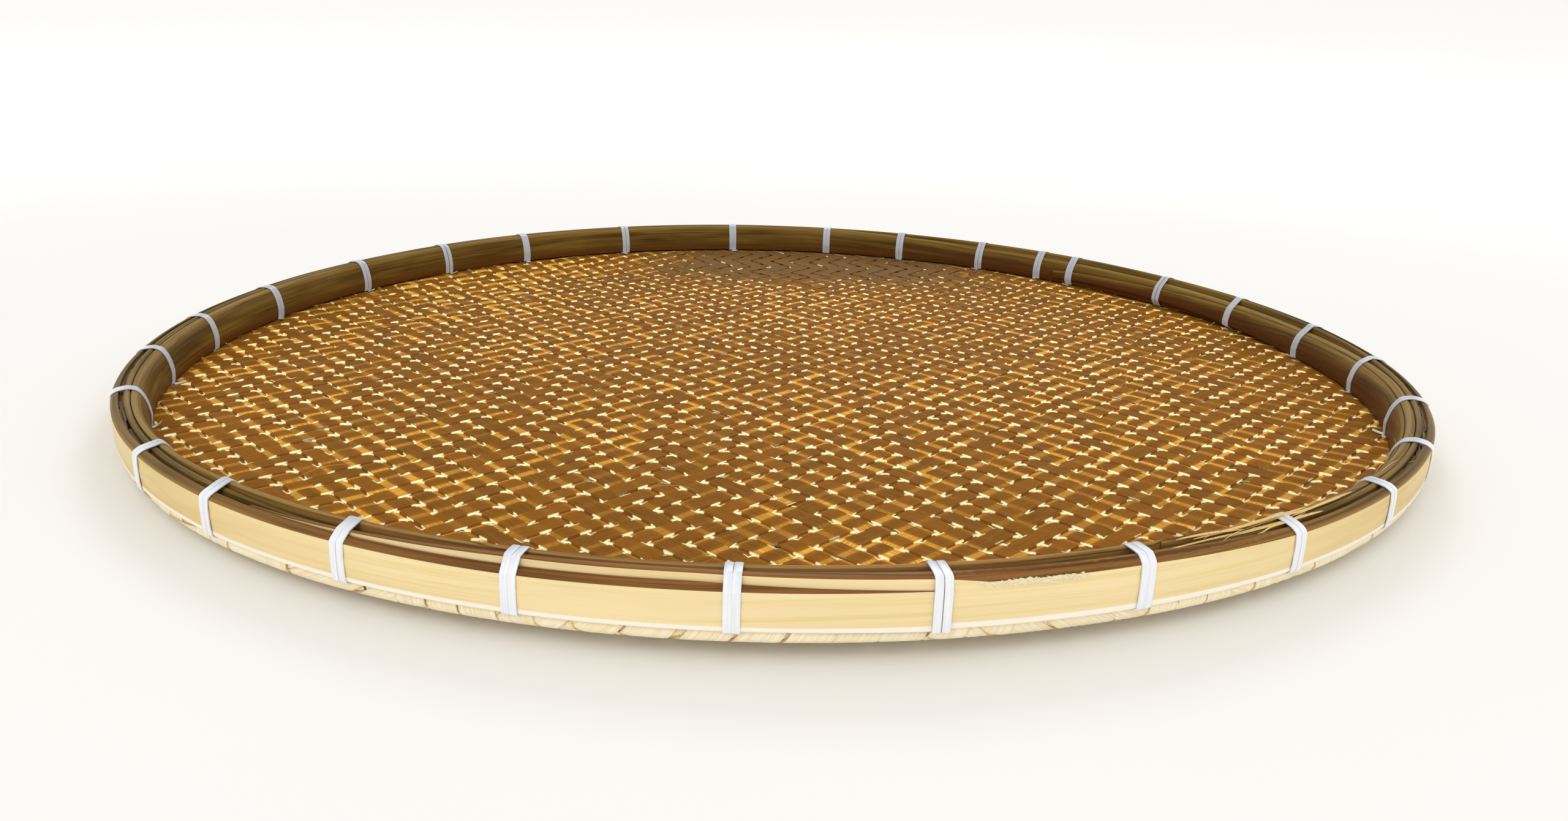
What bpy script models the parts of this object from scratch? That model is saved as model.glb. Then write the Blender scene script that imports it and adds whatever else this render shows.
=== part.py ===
"""A zaru: a shallow round tray of woven bamboo, clamped between two split-bamboo hoops.

Lengths are in metres and angles in degrees. Angle 0 is the front of the tray, towards -Y,
and angles grow towards +X. The tray rests on the floor of its mat, in the plane z = 0.
"""

import math

import bmesh
import bpy
import numpy as np
from mathutils import Matrix, Vector

# Clearances
CLEARANCE = 0.0003
TIP_THICKNESS = 0.0005

# Warp: the rim stands higher at the front and back than at the sides
WARP_ANGLE = 11
RIM_WARP = 0.0026

# Outer hoop: one strip, bent round until its shaved ends lap at the front
RIM_RADIUS = 0.3
HOOP_THICKNESS = 0.0032
HOOP_HEIGHT = 0.0143
HOOP_CROWN = 0.0003
HOOP_EDGE = 0.0006
HOOP_SHOULDER_WIDTH = 0.0022
HOOP_SHOULDER_DEPTH = 0.0016
HOOP_SLOPE_DEPTH = 0.0024
HOOP_LAP_DROP = 0.0005
HOOP_LAP_RISE = 0.0022
HOOP_INSIDE_TIP = -33
HOOP_OUTSIDE_SHAVED = -4
HOOP_OUTSIDE_TIP = 7.5
HOOP_CLOSED = 11.5
HOOP_DROP_ANGLES = (-40, -17)
HOOP_RISE_ANGLES = (-33, -14, 22, 34)
HOOP_SLOPE_ANGLES = (7.5, 11.5, 22, 34)

# Mat: the woven sheet, with its edge turned up between the hoops
MAT_THICKNESS = 0.0013
MAT_FLOOR_MARGIN = 0.055
MAT_RIM_RISE = 0.0028
MAT_LIP_HEIGHT = 0.005
MAT_LIP_SETBACK = 0.0012
MAT_EDGE_RECESS = 0.0015
MAT_CORNER = 0.0015

# Gaps between the mat's strips: a plain grid of openings stands for the many small ones,
# each as wide as the gaps of the strips that it stands for, so that as much is open
STRIP_PITCH = 0.01
STRIP_GAP = 0.002
STRIPS_TO_NEXT_GAP = 5
GAP_MARGIN = 0.01
GAP_OVERRUN = 0.001
WEAVE_MIDDLE = (0.008, -0.126)
WEAVE_TURN = 45

# Filler cane: closes the rim between the mat's cut edge and the inner hoop
FILLER_THICKNESS = 0.0022
FILLER_HEIGHT = 0.01
FILLER_PROUD = 0.0005
FILLER_END_DROP = 0.003
FILLER_ANGLES = (3, 342)
FILLER_END_ANGLES = (3, 15, 324, 342)

# Inner hoop: a broad rounded strip whose lapped ends lie at the right
INNER_THICKNESS = 0.0058
INNER_LAYER_THICKNESS = 0.0034
INNER_LAP_THICKNESS = 0.0034
INNER_TIP_HEIGHT = 0.005
INNER_PROUD = 0.0002
INNER_RISE = 0.0024
INNER_RISE_ANGLES = (-64, -33, 22, 51)
INNER_DIP = 0.0026
INNER_DIP_ANGLES = (75, 96, 150, 172)
INNER_OUTSIDE_TIP = 23
INNER_OUTSIDE_FULL = 51
INNER_INSIDE_SHAVED = 99
INNER_INSIDE_TIP = 138.5

# Strap bindings: each strap goes twice round the rim and through a slot in the mat's lip
STRAP_WIDTH = 0.0026
STRAP_THICKNESS = 0.0007
STRAP_FACES = (-90, 180, 160, 135, 105, 70, 40, 0, -40)
STRAP_LEAST_SLOPE = 4
STRAP_SHIFT_SHARES = (0.2, 0.6)
STRAP_END_SHARES = (0.1, 0.72)
BINDING_ANGLES = (
    -2, 9, 21, 33, 45, 57, 70, 84, 97, 110, 122, 136, 141, 150, 162,
    173, 187, 203, 218, 230, 243, 258, 271, 283, 296, 312, 323, 335, 346,
)

# Outlines, as shares of the sizes of the piece they belong to
INNER_DOME_SHARES = ((0.0, 0.15, 0.42, 0.7, 0.9, 1.0), (0.04, 0.0, 0.06, 0.21, 0.43, 0.7))
INNER_FOOT_SHARES = ((0.12, 0.0), (0.7, 0.0), (1.0, 0.22))
MAT_LIP_SHARES = ((2.0, 0.0), (0.35, 0.12), (0.0, 0.35), (0.0, 0.45))
MAT_RAMP_SHARES = (0.5, 0.4)
MAT_BEND_SHARE = 0.25
THIN_SHARE = 0.3
TOP_SHARE = 0.8

# Mesh density
WIDEST_FACET = 6.5
NEAREST_STATIONS = 1.2
SHARP_ANGLE = 35

# Places that follow from the sizes above
HOOP_INSIDE = RIM_RADIUS - HOOP_THICKNESS
INNER_OUTSIDE = HOOP_INSIDE - MAT_THICKNESS - FILLER_THICKNESS - 3 * CLEARANCE
INNER_INSIDE = INNER_OUTSIDE - INNER_THICKNESS
FLOOR_RADIUS = INNER_INSIDE - MAT_FLOOR_MARGIN
GAP_WIDTH = STRIPS_TO_NEXT_GAP * STRIP_GAP
TURN_PITCH = STRAP_WIDTH + CLEARANCE
SLOT_HALF_WIDTH = (STRAP_WIDTH + TURN_PITCH) / 2 + CLEARANCE
SLOT_HALF_ANGLE = math.degrees(math.asin(SLOT_HALF_WIDTH / INNER_OUTSIDE))
HOOP_TURNS = (HOOP_INSIDE_TIP, 360 + HOOP_OUTSIDE_TIP)
INNER_TURNS = (INNER_OUTSIDE_TIP, 360 + INNER_INSIDE_TIP)

BAMBOO_SKIN = ("bamboo_skin", (0.86, 0.7, 0.4), 0.38)
BAMBOO_SPLIT = ("bamboo_split", (0.42, 0.27, 0.1), 0.5)
BAMBOO_STRIPS = ("bamboo_strips", (0.5, 0.31, 0.11), 0.48)
WHITE_STRAP = ("white_strap", (0.9, 0.91, 0.93), 0.35)


def clear_scene():
    for item in list(bpy.data.objects):
        bpy.data.objects.remove(item, do_unlink=True)


def material(slot):
    name, colour, roughness = slot
    made = bpy.data.materials.get(name)
    if made is None:
        made = bpy.data.materials.new(name)
        made.use_nodes = True
        shader = made.node_tree.nodes["Principled BSDF"]
        shader.inputs["Base Color"].default_value = (*colour, 1)
        shader.inputs["Roughness"].default_value = roughness
        shader.inputs["Metallic"].default_value = 0
        made.diffuse_color = (*colour, 1)
    return made


def add_object(name, mesh_builder, slot):
    """Turns a finished bmesh into a named object with its own material."""
    bmesh.ops.recalc_face_normals(mesh_builder, faces=mesh_builder.faces)
    mesh = bpy.data.meshes.new(name)
    mesh_builder.to_mesh(mesh)
    mesh_builder.free()
    mesh.shade_smooth()
    mesh.set_sharp_from_angle(angle=math.radians(SHARP_ANGLE))
    mesh.materials.append(material(slot))
    made = bpy.data.objects.new(name, mesh)
    bpy.context.scene.collection.objects.link(made)
    return made


def place(angle, radius, height):
    turn = math.radians(angle)
    return Vector((radius * math.sin(turn), -radius * math.cos(turn), height))


def ramp(angle, angles, values):
    return float(np.interp(angle, angles, values))


def warp(angle):
    """One at the highest places of the rim, front and back, and minus one at its sides."""
    return math.cos(2 * math.radians(angle - WARP_ANGLE))


def mat_rim(angle):
    """Height of the mat's underside below the inner hoop."""
    return MAT_RIM_RISE + RIM_WARP * warp(angle)


def hoop_bottom(angle):
    return mat_rim(angle) + MAT_LIP_HEIGHT


def hoop_top(angle):
    return hoop_bottom(angle) + HOOP_HEIGHT


def around(angle):
    """The same angle, counted from -180 to 180."""
    return (angle + 180) % 360 - 180


def outside_end_thickness(angle):
    """Thickness of the outer hoop's outside end, shaved down to its tip."""
    return ramp(
        angle,
        (HOOP_OUTSIDE_SHAVED, HOOP_OUTSIDE_TIP),
        (HOOP_THICKNESS, TIP_THICKNESS),
    )


def stack_inside(angle):
    """The inside radius of everything that the outer hoop puts at this angle."""
    lapped = HOOP_INSIDE - CLEARANCE
    return ramp(
        around(angle),
        (HOOP_DROP_ANGLES[0], HOOP_INSIDE_TIP, HOOP_OUTSIDE_SHAVED, HOOP_CLOSED),
        (HOOP_INSIDE, lapped - TIP_THICKNESS, lapped - FILLER_THICKNESS, HOOP_INSIDE),
    )


def hoop_section(turn):
    """Radius and height points round the outer hoop, at a turn from its inside end on."""
    last_lap = turn - 360
    inner, outer = HOOP_INSIDE, RIM_RADIUS
    bottom, top = hoop_bottom(turn), hoop_top(turn)
    if turn < HOOP_CLOSED:
        covered = outside_end_thickness(turn) + CLEARANCE
        inner = stack_inside(turn)
        outer -= ramp(turn, (HOOP_OUTSIDE_TIP, HOOP_CLOSED), (covered, 0))
    elif last_lap > HOOP_DROP_ANGLES[0]:
        inner = RIM_RADIUS - outside_end_thickness(last_lap)
        top -= ramp(last_lap, HOOP_DROP_ANGLES, (0, HOOP_LAP_DROP))
    top += ramp(turn, HOOP_RISE_ANGLES, (0, HOOP_LAP_RISE, HOOP_LAP_RISE, 0))
    thickness = outer - inner
    edge = min(HOOP_EDGE, THIN_SHARE * thickness)
    crown = min(HOOP_CROWN, THIN_SHARE * thickness)
    depth = ramp(
        turn,
        HOOP_SLOPE_ANGLES,
        (HOOP_SHOULDER_DEPTH, HOOP_SLOPE_DEPTH, HOOP_SLOPE_DEPTH, HOOP_SHOULDER_DEPTH),
    )
    return [
        (inner, bottom),
        (outer - crown - edge, bottom),
        (outer - crown, bottom + edge),
        (outer, (bottom + top) / 2),
        (outer - crown, top - depth),
        (outer - min(crown + HOOP_SHOULDER_WIDTH, TOP_SHARE * thickness), top),
        (inner, top),
    ]


def filler_section(angle):
    """Radius and height points round the filler cane, at an angle along it."""
    inner = INNER_OUTSIDE + CLEARANCE
    outer = stack_inside(angle) - MAT_THICKNESS - 2 * CLEARANCE
    bottom = hoop_top(angle) - FILLER_HEIGHT
    top = hoop_top(angle) + FILLER_PROUD - ramp(
        angle, FILLER_END_ANGLES, (FILLER_END_DROP, 0, 0, FILLER_END_DROP)
    )
    round_off = THIN_SHARE * (outer - inner)
    return [
        (inner, bottom),
        (outer, bottom),
        (outer, top - round_off),
        (outer - round_off, top),
        (inner + round_off, top),
        (inner, top - round_off),
    ]


def outside_layer_thickness(angle):
    """Thickness of the inner hoop's outside layer, from its tip to the hoop's full strip."""
    return ramp(
        angle,
        (INNER_OUTSIDE_TIP, INNER_OUTSIDE_FULL, INNER_INSIDE_SHAVED, INNER_INSIDE_TIP),
        (
            TIP_THICKNESS,
            INNER_LAYER_THICKNESS,
            INNER_LAYER_THICKNESS,
            INNER_THICKNESS - CLEARANCE,
        ),
    )


def inside_layer_thickness(angle):
    """Thickness of the inner hoop's inside layer, from the hoop's full strip to its tip."""
    return ramp(
        angle,
        (INNER_OUTSIDE_TIP, INNER_OUTSIDE_FULL, INNER_INSIDE_SHAVED, INNER_INSIDE_TIP),
        (
            INNER_THICKNESS - TIP_THICKNESS,
            INNER_LAP_THICKNESS,
            INNER_LAP_THICKNESS,
            TIP_THICKNESS,
        ),
    )


def inner_bottom(angle):
    return mat_rim(angle) + MAT_THICKNESS + STRAP_THICKNESS + 2 * CLEARANCE


def inner_height(angle):
    """Height of the inner hoop's crest above its underside."""
    crest = hoop_top(angle) + INNER_PROUD
    crest += ramp(around(angle), INNER_RISE_ANGLES, (0, INNER_RISE, INNER_RISE, 0))
    crest -= ramp(around(angle), INNER_DIP_ANGLES, (0, INNER_DIP, INNER_DIP, 0))
    return crest - inner_bottom(angle)


def inner_section(turn):
    """Radius and height points round the inner hoop, at a turn from its outside end on.

    Where the hoop laps itself, the tops of both layers lie on one dome.
    """
    last_lap = turn - 360
    outer, thickness, whole, tip = INNER_OUTSIDE, INNER_THICKNESS, INNER_THICKNESS, 0
    if turn <= INNER_INSIDE_TIP or last_lap >= INNER_OUTSIDE_TIP:
        covered = outside_layer_thickness(around(turn))
        covering = inside_layer_thickness(around(turn))
        whole = covered + CLEARANCE + covering
        if turn <= INNER_INSIDE_TIP:
            thickness = covered
            tip = ramp(turn, (INNER_OUTSIDE_TIP, INNER_OUTSIDE_FULL), (1, 0))
        else:
            outer -= covered + CLEARANCE
            thickness = covering
            tip = ramp(last_lap, (INNER_INSIDE_SHAVED, INNER_INSIDE_TIP), (0, 1))
    height = inner_height(turn)
    bottom = inner_bottom(turn)
    depths, drops = INNER_DOME_SHARES
    crest = []
    for depth in depths:
        inward = INNER_OUTSIDE - outer + depth * thickness
        drop = ramp(inward / whole, depths, drops)
        crest.append((outer - depth * thickness, bottom + height * (1 - drop)))
    bottom += tip * max(crest[0][1] - bottom - INNER_TIP_HEIGHT, 0)
    foot = [
        (outer + (across - 1) * thickness, bottom + up * (crest[0][1] - bottom))
        for across, up in INNER_FOOT_SHARES
    ]
    return foot + crest


def layers_at(angle, first_turn, last_turn, section):
    """The sections of every layer of one strip that pass this angle."""
    turns = (angle + 360 * count for count in (-1, 0, 1))
    return [section(turn) for turn in turns if first_turn <= turn <= last_turn]


def station_angles():
    """The angles at which every swept piece has a section, so that neighbours share facets."""
    ends = [
        HOOP_INSIDE_TIP % 360,
        HOOP_OUTSIDE_SHAVED % 360,
        HOOP_OUTSIDE_TIP,
        HOOP_CLOSED,
        *FILLER_ANGLES,
        INNER_OUTSIDE_TIP,
        INNER_INSIDE_TIP,
    ]
    edges = []
    between = []
    following = (*BINDING_ANGLES[1:], BINDING_ANGLES[0] + 360)
    for here, after in zip(BINDING_ANGLES, following):
        edges += [here - SLOT_HALF_ANGLE, here + SLOT_HALF_ANGLE]
        start, end = here + SLOT_HALF_ANGLE, after - SLOT_HALF_ANGLE
        facets = math.ceil((end - start) / WIDEST_FACET)
        between += list(np.linspace(start, end, facets + 1)[1:-1])
    edges = [angle % 360 for angle in edges]
    kept = sorted(edges + ends)
    for angle in between:
        if min(abs(angle % 360 - other) for other in kept) > NEAREST_STATIONS:
            kept.append(angle % 360)
    return sorted(kept)


STATIONS = station_angles()


def turns_between(first_turn, last_turn):
    every = [angle + 360 * count for count in (-1, 0, 1) for angle in STATIONS]
    return sorted(turn for turn in every if first_turn <= turn <= last_turn)


def sweep(name, first_turn, last_turn, section, slot):
    """A strip bent along the rim: its section at each station, bridged and capped."""
    built = bmesh.new()
    rows = [
        [built.verts.new(place(turn, *point)) for point in section(turn)]
        for turn in turns_between(first_turn, last_turn)
    ]
    for row, after in zip(rows, rows[1:]):
        for index in range(len(row)):
            built.faces.new(
                (row[index - 1], row[index], after[index], after[index - 1])
            )
    built.faces.new(rows[0])
    built.faces.new(rows[-1])
    return add_object(name, built, slot)


def mat_outside(angle):
    """The mat's outer skin at this angle, from the edge of its floor to its cut edge."""
    upright = stack_inside(angle) - CLEARANCE
    lip = RIM_RADIUS - MAT_LIP_SETBACK
    rim = mat_rim(angle)
    lip_top = hoop_bottom(angle) - CLEARANCE
    across, up = MAT_RAMP_SHARES
    ramp_end = INNER_INSIDE - MAT_CORNER
    return [
        (FLOOR_RADIUS, 0),
        (FLOOR_RADIUS + across * (ramp_end - FLOOR_RADIUS), up * rim),
        (ramp_end, rim),
        *(
            (lip - inward * MAT_CORNER, rim + share * (lip_top - rim))
            for inward, share in MAT_LIP_SHARES
        ),
        (lip - MAT_CORNER, lip_top),
        (upright, lip_top),
        (upright, hoop_top(angle) - MAT_EDGE_RECESS),
    ]


def mat_inside(angle):
    """The mat's inner skin at this angle, from the edge of its floor to its cut edge."""
    upright = stack_inside(angle) - CLEARANCE - MAT_THICKNESS
    rim = mat_rim(angle)
    lip_top = hoop_bottom(angle) - CLEARANCE
    across, up = MAT_RAMP_SHARES
    ramp_end = INNER_INSIDE - MAT_CORNER
    floor = rim + MAT_THICKNESS
    return [
        (FLOOR_RADIUS, MAT_THICKNESS),
        (FLOOR_RADIUS + across * (ramp_end - FLOOR_RADIUS), up * rim + MAT_THICKNESS),
        (ramp_end, floor),
        (upright - MAT_CORNER, floor),
        (upright - THIN_SHARE * MAT_CORNER, floor + MAT_BEND_SHARE * (lip_top - floor)),
        (upright, lip_top),
        (upright, hoop_top(angle) - MAT_EDGE_RECESS),
    ]


# The rows of each skin between which a strap passes through the mat's lip
OUTSIDE_SLOT_ROWS = (6, 8)
INSIDE_SLOT_ROWS = (3, 5)


def bridge(built, row, after, skipped=()):
    """Faces between two lists of corners, leaving out the gaps whose numbers are skipped."""
    for index in range(len(row) - 1):
        if index not in skipped:
            built.faces.new((row[index], row[index + 1], after[index + 1], after[index]))


def line_slot(built, outside, inside, outside_after, inside_after):
    """The four walls of one slot, between the open rows of the mat's two skins."""
    first, last = OUTSIDE_SLOT_ROWS
    inner_first, inner_last = INSIDE_SLOT_ROWS
    for outer_row, inner_row in ((outside, inside), (outside_after, inside_after)):
        rim = outer_row[first : last + 1] + inner_row[inner_first : inner_last + 1][::-1]
        built.faces.new(rim)
    for outer_place, inner_place in ((first, inner_first), (last, inner_last)):
        built.faces.new(
            (
                outside[outer_place],
                outside_after[outer_place],
                inside_after[inner_place],
                inside[inner_place],
            )
        )


def build_mat():
    built = bmesh.new()
    outside = [
        [built.verts.new(place(angle, *point)) for point in mat_outside(angle)]
        for angle in STATIONS
    ]
    inside = [
        [built.verts.new(place(angle, *point)) for point in mat_inside(angle)]
        for angle in STATIONS
    ]
    slots = [
        min(
            range(len(STATIONS)),
            key=lambda index: abs(STATIONS[index] - (angle - SLOT_HALF_ANGLE) % 360),
        )
        for angle in BINDING_ANGLES
    ]
    for here in range(len(STATIONS)):
        after = (here + 1) % len(STATIONS)
        open_outside = range(*OUTSIDE_SLOT_ROWS) if here in slots else ()
        open_inside = range(*INSIDE_SLOT_ROWS) if here in slots else ()
        bridge(built, outside[here], outside[after], open_outside)
        bridge(built, inside[here], inside[after], open_inside)
        built.faces.new(
            (outside[here][-1], outside[after][-1], inside[after][-1], inside[here][-1])
        )
        if here in slots:
            line_slot(built, outside[here], inside[here], outside[after], inside[after])
    for skin in (outside, inside):
        built.faces.new([row[0] for row in skin])
    made = add_object("woven_mat", built, BAMBOO_STRIPS)
    cut = made.modifiers.new("gaps", "BOOLEAN")
    cut.operation = "DIFFERENCE"
    cut.object = build_gap_cutter()
    return made


def gap_places():
    """Middles of the openings in the mat's floor, on a grid turned with the strips."""
    pitch = STRIPS_TO_NEXT_GAP * STRIP_PITCH
    reach = math.ceil(2 * FLOOR_RADIUS / pitch)
    turn = math.radians(WEAVE_TURN)
    strip = Vector((math.cos(turn), math.sin(turn)))
    crossing_strip = strip.orthogonal()
    farthest = FLOOR_RADIUS - GAP_MARGIN - GAP_WIDTH
    places = []
    for column in range(-reach, reach + 1):
        for row in range(-reach, reach + 1):
            along = STRIP_PITCH / 2 + column * pitch
            across = STRIP_PITCH / 2 + row * pitch
            middle = Vector(WEAVE_MIDDLE) + along * strip + across * crossing_strip
            if middle.length < farthest:
                places.append(middle)
    return places


def build_gap_cutter():
    """One upright square block for each opening, taller than the mat."""
    built = bmesh.new()
    height = MAT_THICKNESS + 2 * GAP_OVERRUN
    size = Matrix.Diagonal((GAP_WIDTH, GAP_WIDTH, height, 1))
    turned = Matrix.Rotation(math.radians(WEAVE_TURN), 4, "Z") @ size
    for middle in gap_places():
        moved = Matrix.Translation((middle.x, middle.y, MAT_THICKNESS / 2))
        bmesh.ops.create_cube(built, size=1, matrix=moved @ turned)
    mesh = bpy.data.meshes.new("gap_cutter")
    built.to_mesh(mesh)
    built.free()
    cutter = bpy.data.objects.new("gap_cutter", mesh)
    cutter.hide_render = True
    cutter.display_type = "WIRE"
    bpy.context.scene.collection.objects.link(cutter)
    return cutter


def rim_points(angle):
    """Every section point that a strap at this angle has to go round."""
    points = []
    for side in (angle - SLOT_HALF_ANGLE, angle + SLOT_HALF_ANGLE):
        for layer in layers_at(side, *HOOP_TURNS, hoop_section):
            points += layer
        for layer in layers_at(side, *INNER_TURNS, inner_section):
            points += layer
        for layer in layers_at(side, *FILLER_ANGLES, filler_section):
            points += layer
    return points


def crossing(first, first_reach, second, second_reach):
    """Where two lines meet, each given by its normal's angle and its reach along it."""
    normals = [
        (math.cos(math.radians(face)), math.sin(math.radians(face)))
        for face in (first, second)
    ]
    meeting = np.linalg.solve(np.array(normals), np.array((first_reach, second_reach)))
    return float(meeting[0]), float(meeting[1])


def underside_slope(angle):
    """How steeply a strap climbs from the inner hoop's underside to the outer hoop's."""
    foot = INNER_FOOT_SHARES[1][0]
    run = INNER_THICKNESS * (1 - foot) + RIM_RADIUS - INNER_OUTSIDE
    climb = math.degrees(math.atan2(hoop_bottom(angle) - inner_bottom(angle), run))
    return max(climb, STRAP_LEAST_SLOPE)


def strap_loop(points, slope, offset):
    """The corners of a tight loop round the points, from its lower inner corner over the top."""
    faces = (*STRAP_FACES, slope - 90, STRAP_FACES[0])
    reaches = [
        offset
        + max(
            radius * math.cos(math.radians(face)) + height * math.sin(math.radians(face))
            for radius, height in points
        )
        for face in faces
    ]
    return [
        crossing(faces[index], reaches[index], faces[index + 1], reaches[index + 1])
        for index in range(len(faces) - 1)
    ]


def strap_route(loop, near, far):
    """Radius, height and sideways place along a strap, from its first end to its last."""
    outer_end, inner_end = loop[-2], loop[-1]

    def along(share):
        return tuple(
            start + share * (end - start) for start, end in zip(outer_end, inner_end)
        )

    round_rim = [loop[-1], *loop[:-1]]
    route = [(*along(STRAP_END_SHARES[1]), near)]
    route += [(*corner, near) for corner in round_rim]
    route += [(*along(STRAP_SHIFT_SHARES[0]), near), (*along(STRAP_SHIFT_SHARES[1]), far)]
    route += [(*corner, far) for corner in round_rim]
    route += [(*along(STRAP_END_SHARES[0]), far)]
    return route


def build_binding(number, angle):
    """One flat strap, twice round the rim, its turns side by side and crossing underneath."""
    points = rim_points(angle)
    near, far = -TURN_PITCH / 2, TURN_PITCH / 2
    slope = underside_slope(angle)
    inside_loop = strap_loop(points, slope, CLEARANCE)
    outside_loop = strap_loop(points, slope, CLEARANCE + STRAP_THICKNESS)
    inside = strap_route(inside_loop, near, far)
    outside = strap_route(outside_loop, near, far)
    built = bmesh.new()
    rows = []
    for (radius, height, side), (outer_radius, outer_height, _) in zip(inside, outside):
        low, high = side - STRAP_WIDTH / 2, side + STRAP_WIDTH / 2
        rows.append(
            [
                built.verts.new(Vector((low, -radius, height))),
                built.verts.new(Vector((high, -radius, height))),
                built.verts.new(Vector((high, -outer_radius, outer_height))),
                built.verts.new(Vector((low, -outer_radius, outer_height))),
            ]
        )
    for row, after in zip(rows, rows[1:]):
        for index in range(len(row)):
            built.faces.new(
                (row[index - 1], row[index], after[index], after[index - 1])
            )
    built.faces.new(rows[0])
    built.faces.new(rows[-1])
    made = add_object(f"binding_{number:02d}", built, WHITE_STRAP)
    made.rotation_euler = (0, 0, math.radians(angle))
    return made


def main():
    clear_scene()
    tray = bpy.data.objects.new("zaru", None)
    bpy.context.scene.collection.objects.link(tray)
    pieces = [
        build_mat(),
        sweep("outer_hoop", *HOOP_TURNS, hoop_section, BAMBOO_SKIN),
        sweep("filler_cane", *FILLER_ANGLES, filler_section, BAMBOO_SPLIT),
        sweep("inner_hoop", *INNER_TURNS, inner_section, BAMBOO_SPLIT),
    ]
    for number, angle in enumerate(BINDING_ANGLES, start=1):
        pieces.append(build_binding(number, angle))
    for piece in pieces:
        piece.parent = tray


main()
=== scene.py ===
"""Looks of a zaru: a shallow round tray of woven bamboo, clamped between two split-bamboo hoops.

Lengths are in metres and angles in degrees. Angle 0 is the front of the tray, towards -Y,
and angles grow towards +X.
"""

import math

import bpy
import numpy as np
from mathutils import Matrix, Vector


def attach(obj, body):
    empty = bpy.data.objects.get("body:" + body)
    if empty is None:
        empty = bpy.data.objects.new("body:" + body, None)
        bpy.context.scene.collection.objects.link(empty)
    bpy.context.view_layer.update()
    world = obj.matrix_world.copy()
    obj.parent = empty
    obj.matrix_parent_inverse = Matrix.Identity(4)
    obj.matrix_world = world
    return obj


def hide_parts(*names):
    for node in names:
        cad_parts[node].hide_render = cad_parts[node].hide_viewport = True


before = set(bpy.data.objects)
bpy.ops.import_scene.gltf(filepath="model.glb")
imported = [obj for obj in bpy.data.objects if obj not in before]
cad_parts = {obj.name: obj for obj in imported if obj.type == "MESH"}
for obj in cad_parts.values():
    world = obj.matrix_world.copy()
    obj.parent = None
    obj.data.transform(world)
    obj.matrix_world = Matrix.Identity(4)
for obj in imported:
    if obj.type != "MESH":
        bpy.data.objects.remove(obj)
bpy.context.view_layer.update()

RANDOM = np.random.default_rng(7)

# Sizes of the solids, which the pieces here follow
CLEARANCE = 0.0003
TIP_THICKNESS = 0.0005
WARP_ANGLE = 11
RIM_WARP = 0.0026
RIM_RADIUS = 0.3
HOOP_THICKNESS = 0.0032
HOOP_HEIGHT = 0.0143
HOOP_CROWN = 0.0003
HOOP_EDGE = 0.0006
HOOP_SHOULDER_WIDTH = 0.0022
HOOP_SHOULDER_DEPTH = 0.0016
HOOP_SLOPE_DEPTH = 0.0024
HOOP_LAP_DROP = 0.0005
HOOP_LAP_RISE = 0.0022
HOOP_INSIDE_TIP = -33
HOOP_OUTSIDE_SHAVED = -4
HOOP_OUTSIDE_TIP = 9
HOOP_CLOSED = 11.5
HOOP_TIP_THICKNESS = 0.00008
HOOP_LAP_CLEARANCE = 0.00004
HOOP_DROP_ANGLES = (-40, -17)
HOOP_RISE_ANGLES = (-33, -14, 22, 34)
HOOP_SLOPE_ANGLES = (7.5, 11.5, 22, 34)
MAT_THICKNESS = 0.0013
MAT_FLOOR_MARGIN = 0.055
MAT_RIM_RISE = 0.0028
MAT_LIP_HEIGHT = 0.005
MAT_EDGE_RECESS = 0.0009
MAT_CORNER = 0.0015
FILLER_THICKNESS = 0.0022
FILLER_HEIGHT = 0.01
FILLER_PROUD = 0.0005
FILLER_END_DROP = 0.003
FILLER_ANGLES = (3, 342)
FILLER_END_ANGLES = (3, 15, 324, 342)
INNER_THICKNESS = 0.0058
INNER_LAYER_THICKNESS = 0.0034
INNER_LAP_THICKNESS = 0.0034
INNER_TIP_HEIGHT = 0.005
INNER_PROUD = 0.0002
INNER_RISE = 0.0024
INNER_RISE_ANGLES = (-64, -33, 22, 51)
INNER_DIP = 0.0026
INNER_DIP_ANGLES = (75, 96, 150, 172)
INNER_OUTSIDE_TIP = 23
INNER_OUTSIDE_FULL = 51
INNER_INSIDE_SHAVED = 99
INNER_INSIDE_TIP = 138.5
STRAP_WIDTH = 0.0025
STRAP_THICKNESS = 0.0007
BINDING_ANGLES = (
    -2, 9, 21, 33, 45, 57, 70, 84, 97, 110, 122, 136, 141, 150, 162,
    173, 187, 203, 218, 230, 243, 258, 271, 283, 296, 312, 323, 335, 346,
)
INNER_DOME_SHARES = ((0.0, 0.15, 0.42, 0.7, 0.9, 1.0), (0.04, 0.0, 0.06, 0.21, 0.43, 0.7))
INNER_FOOT_SHARES = ((0.12, 0.0), (0.7, 0.0), (1.0, 0.22))
THIN_SHARE = 0.3
TOP_SHARE = 0.8
HOOP_INSIDE = RIM_RADIUS - HOOP_THICKNESS
INNER_OUTSIDE = HOOP_INSIDE - MAT_THICKNESS - FILLER_THICKNESS - 3 * CLEARANCE
INNER_INSIDE = INNER_OUTSIDE - INNER_THICKNESS
FLOOR_RADIUS = INNER_INSIDE - MAT_FLOOR_MARGIN
HOOP_TURNS = (HOOP_INSIDE_TIP, 360 + HOOP_OUTSIDE_TIP)
INNER_TURNS = (INNER_OUTSIDE_TIP, 360 + INNER_INSIDE_TIP)
INNER_LAP_ANGLES = (INNER_OUTSIDE_TIP, INNER_OUTSIDE_FULL, INNER_INSIDE_SHAVED, INNER_INSIDE_TIP)

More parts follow.
